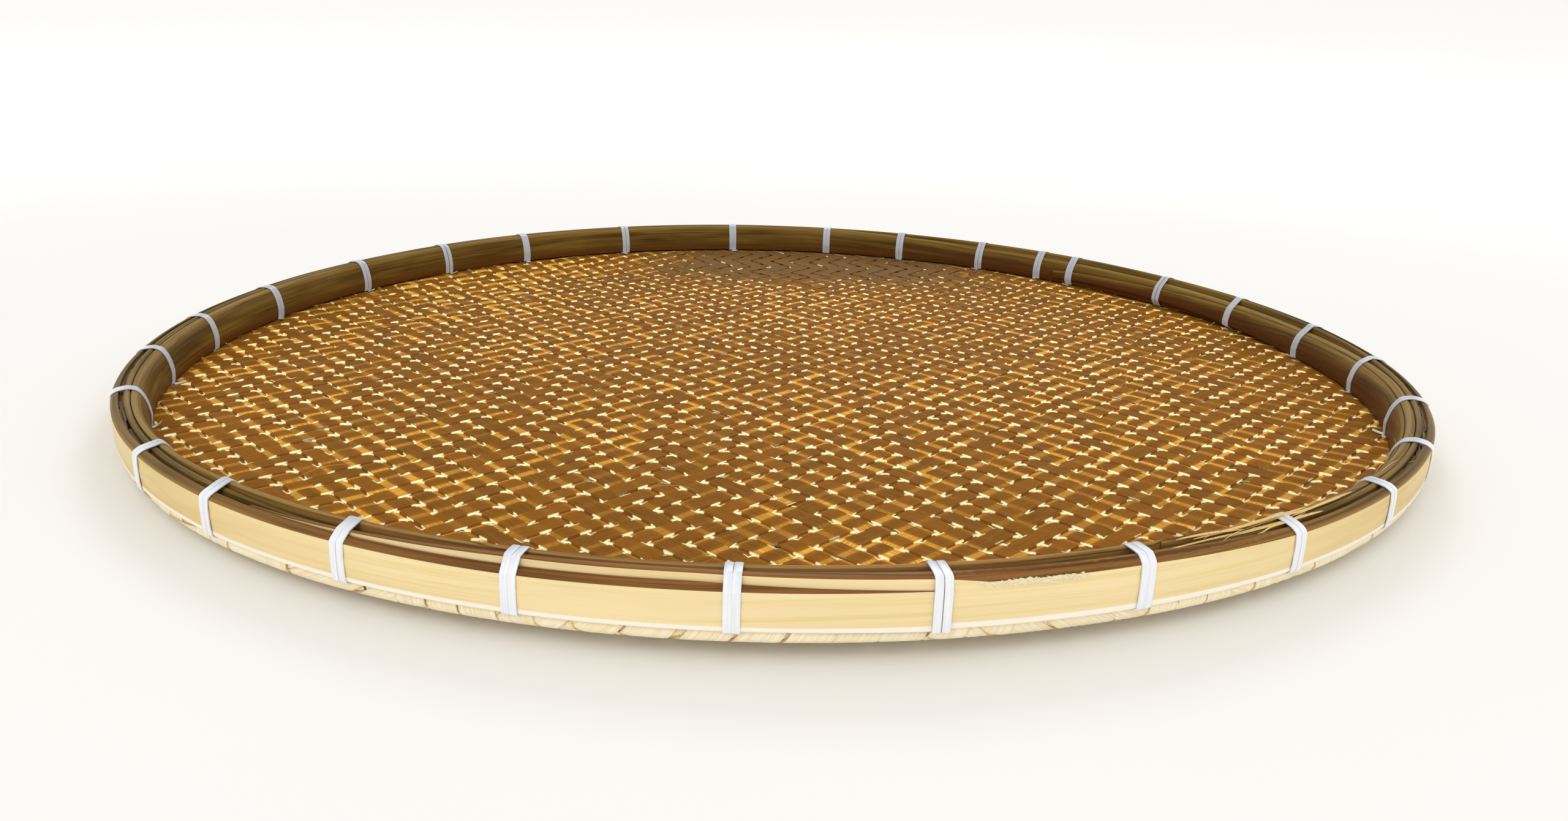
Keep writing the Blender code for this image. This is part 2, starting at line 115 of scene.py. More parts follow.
# Weave: strips on both diagonals, in a 2/2 twill that turns round one middle
PITCH = 0.01
STRIP_HALF_WIDTH = 0.004
STRIP_THICKNESS = 0.00074
STRIP_CROWN = 0.00005
STRIP_JITTER = 0.00035
STRIP_LEAST_WIDTH = 0.003
WEAVE_RISE = 0.00039
WEAVE_MIDDLE = (0.008, -0.126)
MAT_MIDDLE_HEIGHT = 0.0008
MAT_TOP_LIFT = 0.00085


# Outline of the rim

def ramp(angle, angles, values):
    return float(np.interp(angle, angles, values))


def swell(angle, angles, outside, inside):
    """One value outside four angles, and another between the middle two."""
    return ramp(angle, angles, (outside, inside, inside, outside))


def warp(angle):
    return np.cos(2 * np.radians(angle - WARP_ANGLE))


def mat_rim(angle):
    return MAT_RIM_RISE + RIM_WARP * warp(angle)


def hoop_bottom(angle):
    return mat_rim(angle) + MAT_LIP_HEIGHT


def hoop_top(angle):
    return hoop_bottom(angle) + HOOP_HEIGHT


def around(angle):
    """The same angle between -180 and 180."""
    return (angle + 180) % 360 - 180


def outside_end_thickness(angle):
    angles = (HOOP_OUTSIDE_SHAVED, HOOP_OUTSIDE_TIP)
    return ramp(angle, angles, (HOOP_THICKNESS, HOOP_TIP_THICKNESS))


def stack_inside(angle):
    """Radius of the outer hoop's inner face, which bulges inwards at the lap."""
    lapped = HOOP_INSIDE - CLEARANCE
    return np.interp(
        around(angle),
        (HOOP_DROP_ANGLES[0], HOOP_INSIDE_TIP, HOOP_OUTSIDE_SHAVED, HOOP_CLOSED),
        (HOOP_INSIDE, lapped - TIP_THICKNESS, lapped - FILLER_THICKNESS, HOOP_INSIDE),
    )


def hoop_section(turn):
    """Radius and height points round the outer hoop, and what each edge after a point is."""
    last_lap = turn - 360
    inner, outer = HOOP_INSIDE, RIM_RADIUS
    bottom, top = hoop_bottom(turn), hoop_top(turn)
    if turn < HOOP_CLOSED:
        covered = outside_end_thickness(turn) + HOOP_LAP_CLEARANCE
        inner = stack_inside(turn)
        outer -= ramp(turn, (HOOP_OUTSIDE_TIP, HOOP_CLOSED), (covered, 0))
    elif last_lap > HOOP_DROP_ANGLES[0]:
        inner = RIM_RADIUS - outside_end_thickness(last_lap)
        top -= ramp(last_lap, HOOP_DROP_ANGLES, (0, HOOP_LAP_DROP))
    top += swell(turn, HOOP_RISE_ANGLES, 0, HOOP_LAP_RISE)
    thickness = outer - inner
    edge = min(HOOP_EDGE, THIN_SHARE * thickness)
    crown = min(HOOP_CROWN, THIN_SHARE * thickness)
    depth = swell(turn, HOOP_SLOPE_ANGLES, HOOP_SHOULDER_DEPTH, HOOP_SLOPE_DEPTH)
    return [
        (inner, bottom),
        (outer - crown - edge, bottom),
        (outer - crown, bottom + edge),
        (outer, (bottom + top) / 2),
        (outer - crown, top - depth),
        (outer - min(crown + HOOP_SHOULDER_WIDTH, TOP_SHARE * thickness), top),
        (inner, top),
    ]


def filler_section(angle):
    """Radius and height points round the filler cane."""
    inner = INNER_OUTSIDE + CLEARANCE
    outer = float(stack_inside(angle)) - MAT_THICKNESS - 2 * CLEARANCE
    bottom = hoop_top(angle) - FILLER_HEIGHT
    top = hoop_top(angle) + FILLER_PROUD
    top -= swell(angle, FILLER_END_ANGLES, FILLER_END_DROP, 0)
    round_off = THIN_SHARE * (outer - inner)
    return [
        (inner, bottom),
        (outer, bottom),
        (outer, top - round_off),
        (outer - round_off, top),
        (inner + round_off, top),
        (inner, top - round_off),
    ]


def layer_thicknesses(angle):
    """Thickness of the inner hoop's outside and inside layers where it laps over itself."""
    tip, outside, inside = TIP_THICKNESS, INNER_LAYER_THICKNESS, INNER_LAP_THICKNESS
    return (
        ramp(angle, INNER_LAP_ANGLES, (tip, outside, outside, INNER_THICKNESS - CLEARANCE)),
        ramp(angle, INNER_LAP_ANGLES, (INNER_THICKNESS - tip, inside, inside, tip)),
    )


def inner_bottom(angle):
    return mat_rim(angle) + MAT_THICKNESS + STRAP_THICKNESS + 2 * CLEARANCE


def inner_height(angle):
    crest = hoop_top(angle) + INNER_PROUD
    crest += swell(around(angle), INNER_RISE_ANGLES, 0, INNER_RISE)
    crest -= swell(around(angle), INNER_DIP_ANGLES, 0, INNER_DIP)
    return crest - inner_bottom(angle)


def smooth_open(points, rounds=2):
    """Cuts the corners of an open line of points, and keeps its ends."""
    line = np.array(points)
    for _ in range(rounds):
        near = 0.75 * line[:-1] + 0.25 * line[1:]
        far = 0.25 * line[:-1] + 0.75 * line[1:]
        cut = np.stack([near, far], axis=1).reshape(-1, line.shape[1])
        line = np.vstack([line[:1], cut[1:-1], line[-1:]])
    return line


def inner_section(turn):
    """Radius and height points round the inner hoop: three at its foot, then a smooth dome."""
    last_lap = turn - 360
    outer, thickness, whole, tip = INNER_OUTSIDE, INNER_THICKNESS, INNER_THICKNESS, 0
    if turn <= INNER_INSIDE_TIP or last_lap >= INNER_OUTSIDE_TIP:
        covered, covering = layer_thicknesses(around(turn))
        whole = covered + CLEARANCE + covering
        if turn <= INNER_INSIDE_TIP:
            thickness = covered
            tip = ramp(turn, (INNER_OUTSIDE_TIP, INNER_OUTSIDE_FULL), (1, 0))
        else:
            outer -= covered + CLEARANCE
            thickness = covering
            tip = ramp(last_lap, (INNER_INSIDE_SHAVED, INNER_INSIDE_TIP), (0, 1))
    height = inner_height(turn)
    bottom = inner_bottom(turn)
    depths, drops = INNER_DOME_SHARES
    crest = []
    for depth in depths:
        inward = INNER_OUTSIDE - outer + depth * thickness
        drop = ramp(inward / whole, depths, drops)
        crest.append((outer - depth * thickness, bottom + height * (1 - drop)))
    bottom += tip * max(crest[0][1] - bottom - INNER_TIP_HEIGHT, 0)
    foot = [
        (outer + (across - 1) * thickness, bottom + up * (crest[0][1] - bottom))
        for across, up in INNER_FOOT_SHARES
    ]
    return foot + [tuple(point) for point in smooth_open(crest)]


def layers_at(angle, first_turn, last_turn, section):
    """The sections that a hoop has at an angle: two where it laps over itself."""
    turns = (angle + 360 * count for count in (-1, 0, 1))
    return [section(turn) for turn in turns if first_turn <= turn <= last_turn]


# Meshes

def place(angle, radius, height):
    """Points in the frame from their angle, radius and height."""
    turn = np.radians(angle)
    return np.stack([radius * np.sin(turn), -radius * np.cos(turn), height], axis=-1)


def swept_faces(stations, corners, first=0):
    """Quads of a closed section swept along stations, with both ends capped."""
    grid = first + np.arange(stations * corners).reshape(stations, corners)
    here, after = grid[:-1], grid[1:]
    quads = np.stack(
        [here, np.roll(here, -1, 1), np.roll(after, -1, 1), after], axis=-1
    ).reshape(-1, 4)
    return quads.tolist() + [grid[0][::-1].tolist(), grid[-1].tolist()]


def joined(sweeps):
    """Points and faces of several sweeps, each given as stations by corners."""
    faces, count = [], 0
    for rows in sweeps:
        stations, corners = rows.shape[:2]
        faces += swept_faces(stations, corners, count)
        count += stations * corners
    return np.concatenate([rows.reshape(-1, 3) for rows in sweeps]), faces


def turned_out(points, faces):
    """Faces of sections that run clockwise along their sweep, turned to look outwards."""
    return points, [face[:1] + face[:0:-1] for face in faces]


def gathered(values):
    """The values of several sweeps, one sweep after another."""
    return {key: np.concatenate([part[key].reshape(-1) for part in values]) for key in values[0]}


def running(steps):
    return np.concatenate([[0], np.cumsum(steps)])


def linked(name, data):
    made = bpy.data.objects.new(name, data)
    bpy.context.scene.collection.objects.link(made)
    return made


def mesh_object(name, points, faces, materials, slot, sharp, values, kinds=None):
    """One piece on the root, with a material for each kind of face and values for its points."""
    mesh = bpy.data.meshes.new(name)
    mesh.from_pydata(np.asarray(points).tolist(), [], faces)
    if kinds is not None:
        mesh.polygons.foreach_set("material_index", np.asarray(kinds, np.int32))
    for item in materials:
        mesh.materials.append(item)
    for key, numbers in values.items():
        kept = mesh.attributes.new(key, "FLOAT", "POINT")
        kept.data.foreach_set("value", np.asarray(numbers, np.float32))
    mesh.shade_smooth()
    mesh.set_sharp_from_angle(angle=math.radians(sharp))
    made = linked(name, mesh)
    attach(made, "root")
    return made


# Materials

STRIP_KEY = 71.0
# Heights and tone of the painted shade on the mat's edge between the hoops
LIP_TOP_HEIGHTS = (0.012, 0.016)
LIP_TOP_TONE = (112, 80, 38)
# Middle of the spot where the painted backlight through the weave is strongest
SUNNY_SPOT = (-0.19, 0.16, 0)
BLACK = (0, 0, 0)


class Nodes:
    """A short way to write the nodes of one material."""

    def __init__(self, name, roughness, specular=0.5):
        self.material = bpy.data.materials.new(name)
        self.material.use_nodes = True
        self.tree = self.material.node_tree
        self.shader = self.tree.nodes["Principled BSDF"]
        self.feed(self.shader, {"Roughness": roughness, "Specular IOR Level": specular})

    def new(self, kind):
        return self.tree.nodes.new(f"ShaderNode{kind}")

    def feed(self, node, values):
        """Gives a node's inputs their values, which are numbers or other nodes' outputs."""
        for key, value in values.items():
            if isinstance(value, bpy.types.NodeSocket):
                self.tree.links.new(value, node.inputs[key])
            else:
                node.inputs[key].default_value = value

    def fed(self, node, values, output=0):
        self.feed(node, values)
        return node.outputs[output]

    def paint(self, tone, roughness=None):
        self.feed(self.shader, {"Base Color": tone})
        if roughness is not None:
            self.feed(self.shader, {"Roughness": roughness})

    def glow(self, share, tone, strength):
        """Stands for light that comes through from behind."""
        light = self.mix(share, BLACK, tone)
        self.feed(self.shader, {"Emission Color": light, "Emission Strength": strength})

    def bump(self, height, strength, distance):
        values = {"Strength": strength, "Distance": distance, "Height": height}
        self.feed(self.shader, {"Normal": self.fed(self.new("Bump"), values)})

    def value(self, name):
        node = self.new("Attribute")
        node.attribute_name = name
        return node.outputs["Fac"]

    def position(self):
        return self.new("TexCoord").outputs["Object"]

    def along_axis(self, axis):
        return self.fed(self.new("SeparateXYZ"), {0: self.position()}, axis)

    def distance(self, spot):
        """How far a place on the piece lies from a spot."""
        node = self.new("VectorMath")
        node.operation = "DISTANCE"
        return self.fed(node, {0: self.position(), 1: spot}, "Value")

    def math(self, operation, *values):
        node = self.new("Math")
        node.operation = operation
        return self.fed(node, dict(enumerate(values)))

    def times(self, product, *others):
        for other in others:
            product = self.math("MULTIPLY", product, other)
        return product

    def without(self, share):
        return self.math("SUBTRACT", 1.0, share)

    def away(self, value, middle):
        """How far the value lies from the middle, to either side."""
        return self.math("ABSOLUTE", self.math("SUBTRACT", value, middle))

    def span(self, value, low, high, to_low=0.0, to_high=1.0):
        """The value's place between low and high, eased at both ends."""
        node = self.new("MapRange")
        node.interpolation_type = "SMOOTHSTEP"
        return self.fed(node, dict(enumerate((value, low, high, to_low, to_high))))

    def mix(self, share, *tones):
        """One tone where the share is 0, and the next where it is 1."""
        node = self.new("Mix")
        node.data_type = "RGBA"
        first, second = (
            tone if isinstance(tone, bpy.types.NodeSocket) else colour(*tone) for tone in tones
        )
        return self.fed(node, {0: share, 6: first, 7: second}, 2)

    def vector(self, *values):
        return self.fed(self.new("CombineXYZ"), dict(enumerate(values)))

    def white(self, *values):
        """A random number for each set of whole values."""
        return self.fed(self.new("TexWhiteNoise"), {"Vector": self.vector(*values)}, "Value")

    def noise(self, vector, scale, detail=3.0, rough=0.55):
        values = {"Vector": vector, "Scale": scale, "Detail": detail, "Roughness": rough}
        return self.fed(self.new("TexNoise"), values, "Fac")

    def drawn(self, key, along_scale, across_scale, detail, scale=1.0, rough=0.55):
        """Noise drawn out along a strip, with a key that makes each strip's own."""
        along = self.times(self.value("along"), along_scale)
        across = self.times(self.value("across"), across_scale)
        return self.noise(self.vector(along, across, key), scale, detail, rough)

    def strip_key(self):
        return self.times(self.value("strip"), STRIP_KEY)

    def from_edge(self):
        """Place across a strip: 0 along its middle and 1 at its edges."""
        return self.math("ABSOLUTE", self.value("across"))

    def from_gap(self):
        """Distance from the nearest gap of the weave, counted in crossed strips."""
        return self.away(self.math("FRACT", self.value("along")), 0.5)

    def near_gap(self):
        return self.span(self.from_gap(), 0.2, 0.27, 1.0, 0.0)

    def painted_shadow_patch(self):
        """Painted shadow: a greyer patch of the mat, at the back and a little to the right, where
        shade falls.
        """
        wide = self.span(self.away(self.along_axis("X"), 0.035), 0.06, 0.17, 1.0, 0.0)
        ragged = self.times(self.noise(self.position(), 30.0, 2.0), 0.05)
        back = self.span(self.math("ADD", self.along_axis("Y"), ragged), 0.195, 0.265)
        return self.times(wide, back)

    def lip_top(self, tone):
        """A strip's tone, with painted shade at the mat's cut edge, where it stands between the
        hoops.
        """
        return self.mix(self.span(self.along_axis("Z"), *LIP_TOP_HEIGHTS), tone, LIP_TOP_TONE)


def colour(red, green, blue):
    """A colour given as it is seen, from 0 to 255, in the numbers that a shader takes."""
    shares = [part / 255 for part in (red, green, blue)]
    return (*(s / 12.92 if s < 0.04045 else ((s + 0.055) / 1.055) ** 2.4 for s in shares), 1)


def strip_material():
    """Bamboo strip seen from inside the tray: brown, with painted backlight over the gaps that
    stands for light coming through, and painted shade.
    """
    n = Nodes("bamboo_strip", 0.5, 0.012)
    key, far = n.strip_key(), n.painted_shadow_patch()
    grain = n.drawn(key, 0.35, 5.0, 5.0, 1.6, 0.65)
    fibre = n.drawn(key, 0.5, 22.0, 2.0)
    tone = n.mix(n.span(grain, 0.3, 0.7), (110, 68, 12), (144, 96, 26))
    tone = n.mix(n.span(fibre, 0.45, 0.75, 0.0, 0.35), tone, (84, 48, 6))
    tone = n.mix(n.span(n.white(key, 3.0, 0.0), 0.0, 1.0, 0.0, 0.4), tone, (160, 100, 22))
    # Painted shadow: the mat turns greyer in the patch at the back.
    tone = n.mix(n.times(far, 0.6), tone, (118, 98, 68))

    # Painted backlight: golden bands over the gaps, an orange halo round them and a glow,
    # strongest round the sunny spot, stand in for light coming through the weave.
    cell = n.math("FLOOR", n.value("along"))
    sunny = n.span(n.distance(SUNNY_SPOT), 0.03, 0.12, 1.0, 0.0)
    region = n.span(n.noise(n.position(), 9.0, 2.0), 0.36, 0.56, 0.3, 1.0)
    shown = n.without(n.math("MAXIMUM", far, n.value("lip")))
    luck = n.span(n.white(cell, key, 1.0), 0.15, 0.9)
    bright = n.times(luck, n.math("MAXIMUM", region, sunny), shown)
    uneven = n.times(n.math("SUBTRACT", fibre, 0.5), 0.12)
    ragged = n.math("ADD", n.from_gap(), uneven)
    width = n.times(n.white(cell, key, 5.0), n.math("MULTIPLY_ADD", sunny, 0.22, 0.08))
    band = n.span(n.math("SUBTRACT", ragged, width), 0.07, 0.15, 1.0, 0.0)
    band = n.times(band, n.span(fibre, 0.36, 0.56, 0.45, 1.0))
    halo = n.span(ragged, 0.12, 0.42, 1.0, 0.0)
    tone = n.mix(n.times(halo, bright, 0.6), tone, (182, 106, 26))
    gold = n.mix(n.span(fibre, 0.35, 0.65), (206, 140, 36), (244, 196, 84))
    lit = n.times(band, bright, 0.95)
    tone = n.mix(lit, tone, gold)
    n.glow(lit, gold, 0.12)

    # Painted shade: darker along the strips' edges.
    tone = n.mix(n.span(n.from_edge(), 0.92, 1.0, 0.0, 0.45), tone, (66, 38, 8))
    # Painted backlight: beside some gaps the split edges are painted cream, as lit from behind
    # through the gap.
    some = n.math("GREATER_THAN", n.white(cell, key, 7.0), 0.45)
    painted_backlit_edge = n.times(n.span(n.from_edge(), 0.82, 0.92), n.near_gap(), some, shown, 0.8)
    tone = n.mix(painted_backlit_edge, tone, (250, 234, 180))
    n.paint(n.lip_top(tone), n.span(grain, 0.2, 0.8, 0.34, 0.52))
    n.bump(n.math("ADD", grain, fibre), 0.35, 0.0002)
    return n.material


def strip_edge_material():
    """The strip's split sides: painted pale and glowing where a gap lets light at them, brown
    where it is covered, and painted dark shade in a few gaps.
    """
    n = Nodes("bamboo_strip_edge", 0.6)
    along, strip, lip = n.value("along"), n.value("strip"), n.value("lip")
    # Painted shade: a few gaps, more of them in the shaded patch, are painted dark.
    luck = n.white(n.math("FLOOR", along), strip, 2.0)
    luck = n.math("ADD", luck, n.times(n.painted_shadow_patch(), 0.8))
    shaded_gap = n.math("GREATER_THAN", luck, 0.955)
    # Painted backlight: pale and glowing beside the other gaps.
    pale = n.times(n.near_gap(), n.without(n.math("MAXIMUM", shaded_gap, lip)))
    fibre = n.noise(n.vector(n.times(along, 3.0), n.strip_key(), 0.0), 3.0)
    cream = n.mix(fibre, (255, 250, 214), (252, 238, 178))
    dark = n.times(shaded_gap, n.span(n.from_gap(), 0.16, 0.22, 1.0, 0.0))
    tone = n.mix(pale, n.mix(dark, (150, 98, 28), (46, 28, 8)), cream)
    n.paint(n.lip_top(n.mix(lip, tone, (222, 190, 124))))
    n.glow(pale, cream, 0.36)
    return n.material


def strip_pith_material():
    """The strip's outer side, seen on the lip and from below: pale straw with fine fibres, paler
    partly as painted sunlight.
    """
    n = Nodes("bamboo_strip_outside", 0.5)
    grain = n.drawn(n.strip_key(), 0.35, 6.0, 5.0, 1.6, 0.65)
    tone = n.mix(n.span(grain, 0.3, 0.7), (244, 222, 172), (255, 246, 220))
    tone = n.mix(n.span(n.from_edge(), 0.94, 1.0, 0.0, 0.4), tone, (190, 156, 98))
    n.paint(n.lip_top(tone))
    n.bump(grain, 0.3, 0.0002)
    return n.material


def hoop_material(
    name, dark, light, streak, roughness, specular=0.1, bands=(), front=None, foot=None, right=None
):
    """Split bamboo with long fibres, with painted light and shade in bands of height, at the
    front, along the foot and on the right.
    """
    n = Nodes(name, roughness, specular)
    strip = n.value("strip")
    grain = n.drawn(strip, 9.0, 700.0, 5.0, rough=0.62)
    broad = n.drawn(strip, 14.0, 160.0, 3.0)
    fibre = n.drawn(strip, 30.0, 2600.0, 2.0)
    tone = n.mix(n.span(broad, 0.3, 0.7), dark, light)
    # Painted light and shade: bands of height lighter or darker by how light falls on the section.
    for low, high, to_low, to_high, other in bands:
        tone = n.mix(n.span(n.value("rise"), low, high, to_low, to_high), tone, other)
    # Painted light and shade: the front of the tray gets its own tint, as light falls there.
    if front:
        tone = n.mix(n.span(n.along_axis("Y"), -0.292, -0.2, 0.75, 0.0), tone, front)
    tone = n.mix(n.span(grain, 0.45, 0.7, 0.0, 0.7), tone, streak)
    # Painted highlight along the lowest edge of the face.
    if foot:
        tone = n.mix(n.span(n.value("rise"), 0.115, 0.15, 0.9, 0.0), tone, foot)
    # Painted shade on the lower inner side at the right; the cracks after it are real.
    if right:
        share = n.span(n.along_axis("X"), -0.05, 0.2)
        share = n.times(share, n.span(n.value("rise"), 0.5, 0.85, 0.75, 0.0))
        tone = n.mix(share, tone, right)
        crack = n.away(n.drawn(strip, 3.0, 420.0, 1.0), 0.56)
        tone = n.mix(n.span(crack, 0.0, 0.012, 0.7, 0.0), tone, (52, 32, 12))
    n.paint(tone, n.span(grain, 0.2, 0.8, roughness - 0.06, roughness + 0.1))
    n.bump(n.math("ADD", grain, n.times(fibre, 0.5)), 0.3, 0.0003)
    return n.material


def strap_material():
    """Flat white plastic strap with faint drawn lines, with painted shade that makes it greyer
    inside the tray.
    """
    n = Nodes("strap_plastic", 0.34)
    lines = n.drawn(n.value("strip"), 60.0, 3.0, 3.0)
    tone = n.mix(n.span(lines, 0.35, 0.7), (236, 239, 245), (252, 253, 255))
    tone = n.mix(n.span(n.from_edge(), 0.75, 1.0, 0.0, 0.25), tone, (186, 193, 206))
    # Painted shade: greyer where the strap lies inside the tray.
    tone = n.mix(n.times(n.value("inside"), 0.75), tone, (164, 170, 184))
    n.paint(tone, n.span(lines, 0.2, 0.8, 0.28, 0.42))
    n.bump(lines, 0.2, 0.0002)
    return n.material


# Tones follow how the bamboo looked in sun and shade: the outer face and the mat's underside are
# paler partly as painted sunlight, and the tops, inner faces and the mat's upper side are browner
# partly as painted shade, over the real difference between bamboo skin and split side.
STRIP = strip_material()
STRIP_EDGE = strip_edge_material()
STRIP_PITH = strip_pith_material()
# Painted light: the outer face is lighter at the front, and its foot carries a painted highlight.
HOOP_SKIN = hoop_material(
    "hoop_outer_face", (212, 179, 102), (230, 203, 134), (236, 208, 140), 0.3, 0.22,
    front=(255, 234, 186),
    foot=(255, 250, 238),
)
# Painted highlight in the band along the shoulder, and painted shade in the redder front.
HOOP_CUT = hoop_material(
    "hoop_top", (94, 70, 24), (132, 102, 44), (56, 34, 10), 0.42,
    bands=[(0.87, 0.96, 0.75, 0.0, (182, 146, 76))],
    front=(148, 96, 50),
)
# Painted highlight: the sunlit lower edge of the outer hoop, near white.
HOOP_FOOT = hoop_material(
    "hoop_lower_edge_highlight", (255, 248, 228), (255, 252, 240), (252, 238, 206), 0.35
)
FILLER = hoop_material("filler_face", (98, 76, 28), (140, 110, 52), (60, 42, 16), 0.42)
# Painted shade at the foot and painted light on the crest; the front is painted lighter, and the
# right is painted darker in shade, with real cracks.
INNER = hoop_material(
    "hoop_inner", (88, 64, 20), (128, 98, 40), (62, 42, 13), 0.36, 0.05,
    bands=[(0.0, 0.4, 0.85, 0.0, (108, 58, 22)), (0.78, 1.0, 0.0, 0.65, (158, 128, 64))],
    front=(172, 130, 76),
    right=(84, 44, 17),
)
FIBRE = hoop_material("loose_fibres", (214, 172, 96), (246, 220, 156), (190, 146, 76), 0.5)
BARK = hoop_material("torn_bark", (238, 222, 178), (255, 246, 218), (206, 184, 136), 0.7)
STRAP = strap_material()


# Woven mat

UPRIGHT = HOOP_INSIDE - CLEARANCE - MAT_THICKNESS / 2
FLOOR_STEPS = 15
# Past the floor's rise: radius, height over the rise, and share that follows the hoop's lap
LIP_KNOTS = (
    (INNER_INSIDE - MAT_CORNER, 0, 0),
    (0.2925, 0, 0),
    (0.2955, 0.0002, 0),
    (0.2976, 0.0011, 0),
    (0.29805, 0.0024, 0),
    (0.2975, 0.0036, 0.2),
    (UPRIGHT + 0.0002, 0.0049, 0.9),
    (UPRIGHT, 0.0064, 1),
    (UPRIGHT, MAT_LIP_HEIGHT + HOOP_HEIGHT - MAT_EDGE_RECESS - MAT_MIDDLE_HEIGHT, 1),
)
# Flat distances from the middle: where the bend starts, and where a strip starts to widen
BEND_START = 0.2805
BEND_KNOTS = np.append(np.arange(BEND_START, 0.306, 0.0009), np.arange(0.3065, 0.32, 0.003))
WIDENING_START, WIDENING_LENGTH, WIDENING_SHARE = 0.284, 0.009, 0.2
EDGE_ROOM = 0.0008
STATION_ROOM = 0.0005
BEND_ROOM = 0.0002
LEAST_STEP = 0.0003
CROSSING_SHARE = 0.26
CROSSING_STEPS = (-0.0026, -0.0014, 0, 0.0014, 0.0026)
WANDER, WANDER_WAVE = 0.00018, 0.045
FLOOR_COLUMNS, LIP_COLUMNS = 3, 9


def lip_profile():
    """The mat's middle surface from its centre out.

    Flat distances, and for each its radius, share of the floor's rise, height over that rise,
    share that follows the hoop's lap, and lean.
    """
    steps = np.linspace(0, 1, FLOOR_STEPS)
    lip = smooth_open(LIP_KNOTS, 3)[1:]
    level = np.zeros(FLOOR_STEPS + 1)
    sloping = FLOOR_RADIUS + steps * (LIP_KNOTS[0][0] - FLOOR_RADIUS)
    radius = np.concatenate([[0], sloping, lip[:, 0]])
    rise = np.concatenate([[0], steps * steps * (1.8 - 0.8 * steps), np.ones(len(lip))])
    over = np.concatenate([level, lip[:, 1]])
    pulled = np.concatenate([level, lip[:, 2]])
    height = MAT_MIDDLE_HEIGHT + rise * MAT_RIM_RISE + over
    flat = running(np.hypot(np.diff(radius), np.diff(height)))
    lean = np.arctan2(np.gradient(height, flat), np.gradient(radius, flat))
    return flat, (radius, rise, over, pulled, lean)


FLAT, PROFILE = lip_profile()
FLAT_EDGE = float(FLAT[-1])


def onto_mat(x, y, lift):
    """A point of the flat weave, lifted off its middle surface, on the dished mat."""
    angle = np.degrees(np.arctan2(x, -y))
    radius, rise, over, pulled, lean = (np.interp(np.hypot(x, y), FLAT, row) for row in PROFILE)
    lap = stack_inside(angle) - CLEARANCE - MAT_THICKNESS / 2 - UPRIGHT
    radius = radius + pulled * lap - lift * np.sin(lean)
    height = MAT_MIDDLE_HEIGHT + over + rise * mat_rim(angle) + lift * np.cos(lean)
    return place(angle, radius, height)


def strip_offsets(middle):
    """Where each strip of one direction lies, by its number from the weave's middle."""
    first = math.ceil((-FLAT_EDGE - middle) / PITCH) - 1
    last = math.floor((FLAT_EDGE - middle) / PITCH) + 1
    numbers = np.arange(first, last + 1)
    return numbers, numbers * PITCH + RANDOM.uniform(-STRIP_JITTER, STRIP_JITTER, len(numbers))


ALONG = {"a": np.array((1, 1)) / math.sqrt(2), "b": np.array((-1, 1)) / math.sqrt(2)}
MIDDLE = {key: float(np.dot(WEAVE_MIDDLE, ALONG[key])) for key in ALONG}
OFFSETS = {"a": strip_offsets(MIDDLE["b"]), "b": strip_offsets(MIDDLE["a"])}
CROSSED = {"a": "b", "b": "a"}


def strip_is_over(key, number, crossed):
    """The twill: two over and two under, stepping outwards from the middle on all sides."""
    first_over = (np.abs(number) + np.abs(crossed)) % 4 < 2
    return first_over if key == "a" else ~first_over


def strip_lift(key, number, lattice):
    """Height of a strip above the mat's middle surface, at places counted in crossed strips."""
    before = np.floor(lattice).astype(int)
    share = np.clip((lattice - before - 0.5) / CROSSING_SHARE + 0.5, 0, 1)
    share = share * share * (3 - 2 * share)
    low, high = (
        np.where(strip_is_over(key, number, crossed), 1, -1) for crossed in (before, before + 1)
    )
    return WEAVE_RISE * (low + share * (high - low))


def strip_stations(key, number, side, common):
    """Places along a strip: close together where it rises or sinks, and on the lip's bend."""
    numbers, places = OFFSETS[CROSSED[key]]
    over = strip_is_over(key, number, numbers)
    stations = list(places)
    for here in np.flatnonzero(over[1:] != over[:-1]):
        gap = (places[here] + places[here + 1]) / 2
        stations += [gap + step for step in CROSSING_STEPS]
    turns = np.sqrt(BEND_KNOTS[BEND_KNOTS > abs(side) + BEND_ROOM] ** 2 - side**2)
    middle = -MIDDLE[key]
    stations = np.sort(np.concatenate([stations, middle + turns, middle - turns]))
    stations = stations[np.abs(stations - middle) < common - STATION_ROOM]
    if len(stations) == 0:
        return np.array([middle])
    return stations[np.concatenate([[True], np.diff(stations) > LEAST_STEP])]


def strip_section(columns):
    """Places across a strip and heights of its bottom and top, round its section."""
    bottom = np.linspace(-1, 1, columns if columns > FLOOR_COLUMNS else 2)
    top = np.linspace(1, -1, columns)
    heights = np.full(len(bottom), -STRIP_THICKNESS / 2)
    crown = STRIP_THICKNESS / 2 + STRIP_CROWN * (1 - top**2)
    return np.concatenate([bottom, top]), np.concatenate([heights, crown]), len(bottom)


